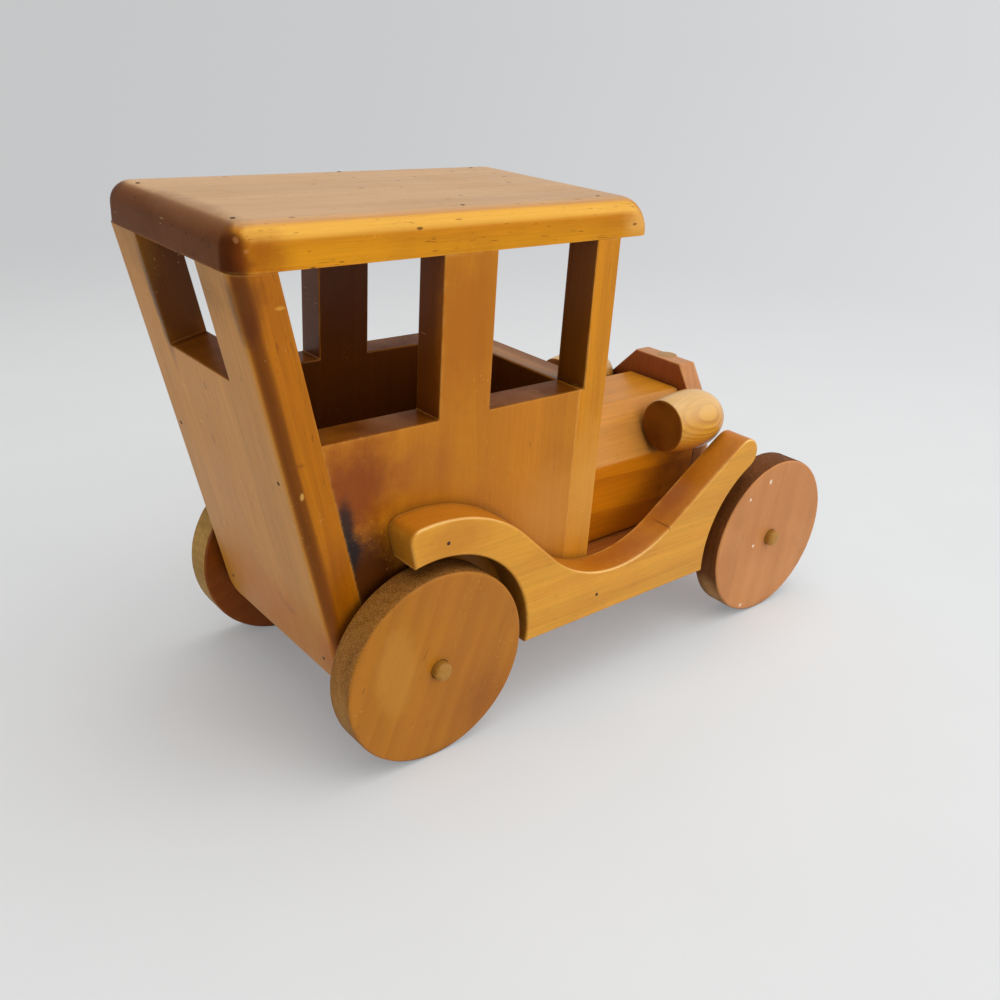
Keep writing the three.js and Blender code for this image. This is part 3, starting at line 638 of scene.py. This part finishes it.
def makeFender(name, side):
    rear = sum(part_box("axle_rear"), Vector()) * 500
    front = sum(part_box("axle_front"), Vector()) * 500
    bottom, band = fenderShape["bottom"], fenderShape["band"]
    inner = side * (shared["halfBody"] + shared["seam"])
    rearOuter, frontOuter = fenderShape["rearArch"] + band, fenderShape["frontArch"] + band
    run = (front.x - rear.x) * fenderShape["dipShare"]
    lift = bottom + fenderShape["runningBoard"] - rear.z
    keepOff = rearOuter + fenderShape["dipEase"]
    dipRadius = (run ** 2 + lift ** 2 - keepOff ** 2) / (2 * (keepOff - lift))
    dip = Vector((rear.x + run, 0, bottom + fenderShape["runningBoard"] + dipRadius))
    centres = {key: at(spot.x, inner, spot.z) for key,
               spot in (("rear", rear), ("front", front), ("dip", dip))}

    def tangent(wheel, outer, turn):
        apart = dip - wheel
        tilt = math.acos((outer + dipRadius) / apart.xz.length)
        return math.degrees(math.atan2(apart.z, apart.x) + turn * tilt)

    def on(centre, radius, degrees):
        angle = math.radians(degrees)
        return centres[centre] + Vector((math.cos(angle), 0, math.sin(angle))) * radius * 0.001

    leave, arrive = tangent(rear, rearOuter, 1), tangent(front, frontOuter, -1)
    foot = {"rear": -math.degrees(math.asin((rear.z - bottom) / fenderShape["rearArch"])),
            "front": 180 + math.degrees(math.asin((front.z - bottom) / fenderShape["frontArch"]))}
    bm = bmesh.new()
    tipIn = rearOuter - fenderShape["tipRound"]
    tipTurn = math.degrees(math.asin(fenderShape["tipRound"] / tipIn))
    start = bm.verts.new(on("rear", tipIn * math.cos(math.radians(tipTurn)), fenderShape["rearEnd"]))
    vert = sweepOn(bm, start, on("rear", tipIn, fenderShape["rearEnd"] - tipTurn), -90 - tipTurn, 6)
    vert = sweepOn(bm, vert, centres["rear"], leave - fenderShape["rearEnd"] + tipTurn, 40)
    follow = bm.verts.new(on("dip", dipRadius, leave + 180))
    bm.edges.new((vert, follow))
    vert = sweepOn(bm, follow, centres["dip"], arrive - leave, 44)
    follow = bm.verts.new(on("front", frontOuter, arrive))
    bm.edges.new((vert, follow))
    vert = sweepOn(bm, follow, centres["front"], fenderShape["frontEnd"] - arrive, 6)
    tip = on("front", fenderShape["frontArch"] + band / 2, fenderShape["frontEnd"])
    vert = sweepOn(bm, vert, tip, -180, 24)
    vert = sweepOn(bm, vert, centres["front"], foot["front"] - fenderShape["frontEnd"], 40)
    follow = bm.verts.new(on("rear", fenderShape["rearArch"], foot["rear"]))
    bm.edges.new((vert, follow))
    vert = sweepOn(bm, follow, centres["rear"], fenderShape["rearEnd"] - foot["rear"], 56)
    bm.edges.new((vert, start))
    face = bmesh.ops.contextual_create(bm, geom=list(bm.edges))["faces"]
    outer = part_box("fender_left")[1].y * 1000
    pushOut(bm, face, (0, side * outer - inner, 0))
    bmesh.ops.recalc_face_normals(bm, faces=bm.faces)
    roundOver(bm, edgesWhere(bm, lambda spot: abs(spot.y) > outer - 0.01), fenderShape["outerRound"], 5)
    roundOver(bm, edgesWhere(bm, lambda spot: abs(spot.y) < abs(inner) + 0.01), fenderShape["innerEase"], 2)
    finished(bm, "fender." + name, "car_body", fenderFinish[name], "fender_" + name)


# the disc wheels and their dowel axles
wheelShape = {"radius": 52.5, "half": 9.0, "bore": 5.3, "edge": 1.6, "rough": 0.18, "roughDepth": 1.7,
              "ripple": 260.0, "treadFrom": 40.0, "steps": 128}
wheelLook = {"light": (170, 106, 18), "dark": (145, 81, 10), "patina": (158, 90, 36), "ringGap": 11.0,
             "ringShare": 0.22, "fibre": 0.06, "fleck": 0.25,
             "wear": 0.5, "wearColour": (196, 136, 74), "rough": 0.38, "end": 0.0, "gloss": 0.2}
rimLook = {"light": (146, 90, 26), "dark": (100, 54, 12), "patina": (86, 46, 14), "patinaShare": 0.5,
           "ringGap": 5.0, "fibre": 0.2, "fleck": 0.3, "fleckColour": (58, 30, 10), "specks": 0.9, "sand": 0.5,
           "wear": 0.7, "wearColour": (196, 136, 84), "rough": 0.6, "bump": 0.8, "end": 0.3, "gloss": 0.1}
axleShape = {"radius": 5.0, "round": 2.5, "steps": 40}


def makeWheel(name, body, node, material, rim):
    low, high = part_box(node)
    spot = (low + high) * 500
    half, bore, radius = wheelShape["half"], wheelShape["bore"], wheelShape["radius"]
    tread = [(radius, half * share) for share in (-1, -0.5, 0, 0.5, 1)]
    profile = [(bore, -half), (radius * 0.5, -half)] + tread + [(radius * 0.5, half), (bore, half),
                                                                (bore, -half)]
    bm = turned(profile, spot, (0, 1, 0), wheelShape["steps"])
    edges = edgesWhere(bm, lambda place: (place - spot).xz.length > radius - 0.1, 60)
    roundOver(bm, edges, wheelShape["edge"], 3)
    for vert in bm.verts:
        out = (vert.co - spot * 0.001) * 1000
        out.y = 0
        if out.length > radius - wheelShape["roughDepth"]:
            dent = 0.5 + 0.5 * noise.noise(vert.co * wheelShape["ripple"])
            vert.co -= out.normalized() * 0.001 * wheelShape["rough"] * dent
    wheel = finished(bm, name, body, material, node)
    wheel.data.materials.append(rim)
    for face in wheel.data.polygons:
        if abs(face.normal.y) < 0.5 and (face.center - spot * 0.001).length > wheelShape["treadFrom"] * 0.001:
            face.material_index = 1


def makeAxle(name, body, node):
    low, high = (corner * 1000 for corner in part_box(node))
    spot = (low + high) / 2
    end = (high.y - low.y) / 2
    radius = axleShape["radius"]
    bm = turned([(0, -end), (radius, -end), (radius, end), (0, end)], spot, (0, 1, 0), axleShape["steps"])
    roundOver(bm, edgesWhere(bm, lambda place: abs(place.y) > end - 0.01), axleShape["round"], 5)
    finished(bm, name, body, dowelFinish, node)


# nail heads, just proud of the varnish
nailShape = {"radius": 1.0, "proud": 0.12, "sink": 0.02, "rim": 0.3, "dish": 0.06, "steps": 14,
             "roof": ((-195.3, 43), (-195.3, -49.5), (-85.3, 54), (-87.3, -53), (-2.3, -52), (-1.3, 51)),
             "fender": ((-110.0, 119.9), (-3.7, 58.0)),
             "back": ((-52.7, 156.0), (-47.6, 54.1), (52.0, 150.0), (49.0, 56.0))}


def nailFinish():
    material = bpy.data.materials.new("nailIron")
    material.use_nodes = True
    tree = material.node_tree
    tree.nodes.clear()
    place = put(tree, "ShaderNodeTexCoord", {}, {}).outputs["Object"]
    rust = cloud(tree, place, 900.0, 3.0)
    colour = mixed(tree, rust, tone(34, 24, 18), tone(78, 46, 28))
    rough = ranged(tree, rust, 0.3, 0.7, 0.5, 0.8)
    uneven = put(tree, "ShaderNodeBump", {}, {"Strength": 0.4, "Distance": 0.0002, "Height": rust})
    shader = put(tree, "ShaderNodeBsdfPrincipled", {}, {
        "Base Color": colour, "Roughness": rough, "Normal": uneven.outputs[0], "Metallic": 0.3})
    put(tree, "ShaderNodeOutputMaterial", {}, {"Surface": shader.outputs[0]})
    return material


def nailHeads(name, places, out):
    bm = bmesh.new()
    turn = Vector((0, 0, 1)).rotation_difference(Vector(out)).to_matrix().to_4x4()
    for place in places:
        stand = Matrix.Translation(at(*place)) @ turn
        made = bmesh.ops.create_circle(bm, cap_ends=True, segments=nailShape["steps"],
                                       radius=nailShape["radius"] * 0.001, matrix=stand)
        face = made["verts"][0].link_faces[0]
        raised = bmesh.ops.extrude_face_region(bm, geom=[face])
        tops = [item for item in raised["geom"] if isinstance(item, bmesh.types.BMVert)]
        bmesh.ops.translate(bm, vec=Vector(out) * nailShape["proud"] * 0.001, verts=tops)
        cap = [item for item in raised["geom"] if isinstance(item, bmesh.types.BMFace)]
        bmesh.ops.inset_region(bm, faces=cap, thickness=nailShape["rim"] * 0.001,
                               depth=-nailShape["dish"] * 0.001)
    bmesh.ops.recalc_face_normals(bm, faces=bm.faces)
    finished(bm, name, "car_body", iron)


dowelFinish = woodFinish("dowelWood", **dowelLook)
lampFinish = {"right": woodFinish("lampPineRight", **lampLook, heart=(0, 0.0033, 0.0997)),
              "left": woodFinish("lampPineLeft", **lampLook, heart=(0, -0.012, 0.108), seed=(0.3, 0.1, 0))}
fenderFinish = {"right": woodFinish("fenderPineRight", **fenderLook),
                "left": woodFinish("fenderPineLeft", **fenderLook, seed=(0.6, 0, 0.2))}
makeRoof()
makeBack()
makeFront()
makeFloor()
makeHood()
makeRadiator()
for sideName, sideSign in (("right", -1), ("left", 1)):
    makeSide(sideName, sideSign)
    makeLamp(sideName, sideSign)
    makeFender(sideName, sideSign)
print("body boards done")

chip = (232, 214, 190)  # pale chips in the front wheel's face
wheels = {
    "rear": {"right": {"turn": (0, 70, 0),
                       "spots": (mark((-140, -86, 60), (16, 6, 34), (186, 128, 44), 0.5),
                                 mark((-84, -86, 22), (30, 6, 36), (126, 62, 20), 0.5, core=0.0, rag=0.4)),
                       "rim": {"spots": (mark((-172, -77, 40), (22, 14, 34), (184, 138, 66), 0.45,
                                              core=0.1),)}},
             # the far rear wheel, under the car, is painted darker as painted shade
             "left": {"turn": (0, 20, 0), "light": (128, 62, 5), "dark": (104, 44, 3),
                      "rim": {"light": (188, 148, 76), "dark": (150, 108, 46)}}},
    "front": {"right": {"turn": (0, 84, 0), "light": (194, 130, 74), "dark": (172, 108, 56),
                        "spots": (mark((141.9, -86, 93.8), (1.8, 2, 2.2), chip, 0.9, rag=0.3),
                                  mark((123.8, -86, 85.8), (1.4, 2, 1.3), chip, 0.9, rag=0.3),
                                  mark((135.2, -86, 50.4), (1.5, 2, 1.4), chip, 0.9, rag=0.3),
                                  mark((132.8, -86, 7.3), (1.8, 2, 1.5), chip, 0.9, rag=0.3)),
                        "rim": {"light": (112, 60, 24), "dark": (70, 32, 10), "sand": 0.15,
                                "spots": (mark((106, -78, 16), (24, 14, 26), (196, 148, 92), 0.75,
                                               core=0.2),)}},
              "left": {"turn": (0, -40, 0)}}}
for end, sides in wheels.items():
    body = end + "_axle_set"
    makeAxle("axle." + end, body, "axle_" + end)
    for count, (sideName, own) in enumerate(sides.items()):
        rings = {"heart": (0, 0.02 + 0.03 * count, -0.05), "seed": (0.4 * count, 0.2, len(end) * 0.1)}
        label = f"wheel.{end}.{sideName}"
        rim = {**rimLook, **rings, "turn": own["turn"], **own.pop("rim", {})}
        makeWheel(label, body, f"wheel_{end}_{sideName}",
                  woodFinish(label + ".wood", **{**wheelLook, **rings, **own}),
                  woodFinish(label + ".rim", **rim))
print("wheels and axles done")

iron = nailFinish()
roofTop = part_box("roof")[1].z * 1000 - nailShape["proud"]
nailHeads("roofNails", [(x, y, roofTop - nailShape["sink"]) for x, y in nailShape["roof"]], (0, 0, 1))
backOut = (-math.cos(shared["backLean"]), 0, -math.sin(shared["backLean"]))
backSet = shared["board"] / math.cos(shared["backLean"]) - nailShape["sink"]
nailHeads("backNails", [(backFace(z) - backSet, y, z) for y, z in nailShape["back"]], backOut)
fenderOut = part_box("fender_left")[1].y * 1000 - nailShape["sink"]
nailHeads("fenderNails.right", [(x, -fenderOut, z) for x, z in nailShape["fender"]], (0, -1, 0))
nailHeads("fenderNails.left", [(x, fenderOut, z) for x, z in nailShape["fender"]], (0, 1, 0))
for node in ("headlight_peg_right", "headlight_peg_left"):
    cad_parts[node].data.materials.clear()
    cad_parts[node].data.materials.append(dowelFinish)
print("nails done")

# a wide pale floor that fades into the room, and the room's light
stageShape = {"size": 30.0, "lift": 0.3, "fadeFrom": 0.3, "fadeTo": 1.3, "near": 0.4}
room = {"bright": (0.98, 0.99, 1.0, 1), "dim": (0.34, 0.34, 0.345, 1),
        "shown": (0.79, 0.805, 0.82, 1), "shade": (0.56, 0.565, 0.57, 1), "way": (0.55, -0.78, 0.3),
        "from": -0.7, "to": 0.9}


def shownRays(tree):
    # what is seen straight, in the varnish or through a clear piece
    path = put(tree, "ShaderNodeLightPath", {}, {})
    seen = maths(tree, "MAXIMUM", path.outputs["Is Camera Ray"], path.outputs["Is Glossy Ray"])
    return maths(tree, "MAXIMUM", seen, path.outputs["Is Transmission Ray"])


def towardsWindow(tree, look):
    return ranged(tree, vectors(tree, "DOT_PRODUCT", look, room["way"]), room["from"], room["to"])


def paper():
    material = bpy.data.materials.new("palePaper")
    material.use_nodes = True
    tree = material.node_tree
    tree.nodes.clear()
    place = put(tree, "ShaderNodeTexCoord", {}, {}).outputs["Object"]
    soft = cloud(tree, place, 9.0, 4.0)
    colour = mixed(tree, soft, tone(221, 222, 221), tone(228, 229, 228))
    uneven = put(tree, "ShaderNodeBump", {}, {"Strength": 0.05, "Distance": 0.001,
                                              "Height": cloud(tree, place, 300.0)})
    shader = put(tree, "ShaderNodeBsdfPrincipled", {},
                 {"Base Color": colour, "Roughness": 0.75, "Normal": uneven.outputs[0]})
    # far off, what shows is the room's own colour, and near the car a share of it lifts the shadow
    away = vectors(tree, "LENGTH", place)
    look = put(tree, "ShaderNodeVectorMath", {"operation": "SCALE"},
               {0: place, 3: maths(tree, "DIVIDE", 1.0,
                                   maths(tree, "ADD", away, stageShape["near"]))}).outputs[0]
    glow = put(tree, "ShaderNodeEmission", {}, {
        "Color": mixed(tree, towardsWindow(tree, look), room["shade"], room["shown"])})
    far = ranged(tree, away, stageShape["fadeFrom"], stageShape["fadeTo"], stageShape["lift"], 1.0)
    both = put(tree, "ShaderNodeMixShader", {}, {0: maths(tree, "MULTIPLY", far, shownRays(tree)),
                                                 1: shader.outputs[0], 2: glow.outputs[0]})
    put(tree, "ShaderNodeOutputMaterial", {}, {"Surface": both.outputs[0]})
    return material


def makeStage():
    bm = bmesh.new()
    bmesh.ops.create_grid(bm, x_segments=1, y_segments=1, size=stageShape["size"])
    mesh = bpy.data.meshes.new("paperFloor")
    bm.to_mesh(mesh)
    bm.free()
    mesh.materials.append(paper())
    floor = bpy.data.objects.new("paperFloor", mesh)
    bpy.context.scene.collection.objects.link(floor)


lights = {"window": {"from": (2.7, -3.6, 2.25), "size": 4.0, "power": 40.0, "tint": (1.0, 0.98, 0.95)},
          "ceiling": {"from": (0.35, -0.2, 3.8), "size": 3.4, "power": 54.0, "tint": (0.98, 0.99, 1.0)},
          "fill": {"from": (0.2, -4.3, 1.26), "size": 4.0, "power": 22.0, "tint": (1.0, 0.99, 0.97)}}


def makeLights():
    for name, lamp in lights.items():
        light = bpy.data.lights.new(name, "AREA")
        light.energy, light.size, light.color = lamp["power"], lamp["size"], lamp["tint"]
        stand = bpy.data.objects.new(name, light)
        stand.location = lamp["from"]
        aim = Vector((0, 0, 0.1)) - Vector(lamp["from"])
        stand.rotation_euler = aim.to_track_quat("-Z", "Y").to_euler()
        stand.visible_camera = False
        bpy.context.scene.collection.objects.link(stand)
    world = bpy.data.worlds.new("room")
    world.use_nodes = True
    tree = world.node_tree
    tree.nodes.clear()
    # the room is brighter towards its window; what shows of it, straight or in the varnish, is pale
    look = put(tree, "ShaderNodeTexCoord", {}, {}).outputs["Generated"]
    share = towardsWindow(tree, look)
    glow = mixed(tree, share, room["dim"], room["bright"])
    pale = mixed(tree, share, room["shade"], room["shown"])
    shown = put(tree, "ShaderNodeBackground", {}, {"Color": mixed(tree, shownRays(tree), glow, pale)})
    put(tree, "ShaderNodeOutputWorld", {}, {"Surface": shown.outputs[0]})
    bpy.context.scene.world = world


# the camera stands behind the car's right rear corner, a little tilted
view = {"spot": (-0.372567, -0.418246, 0.339669), "lens": 36.578, "right": (0.770024, -0.635154, 0.060359),
        "up": (0.224036, 0.357758, 0.906542), "back": (-0.597387, -0.684536, 0.417779)}


def makeCamera():
    eye = bpy.data.cameras.new("eye")
    eye.lens, eye.sensor_width, eye.clip_start = view["lens"], 36.0, 0.01
    camera = bpy.data.objects.new("eye", eye)
    turn = Matrix((view["right"], view["up"], view["back"])).transposed().to_4x4()
    camera.matrix_world = Matrix.Translation(view["spot"]) @ turn
    bpy.context.scene.collection.objects.link(camera)
    bpy.context.scene.camera = camera


makeStage()
makeLights()
makeCamera()
bpy.context.scene.view_settings.view_transform = "Standard"
print("stage, lights and camera done")
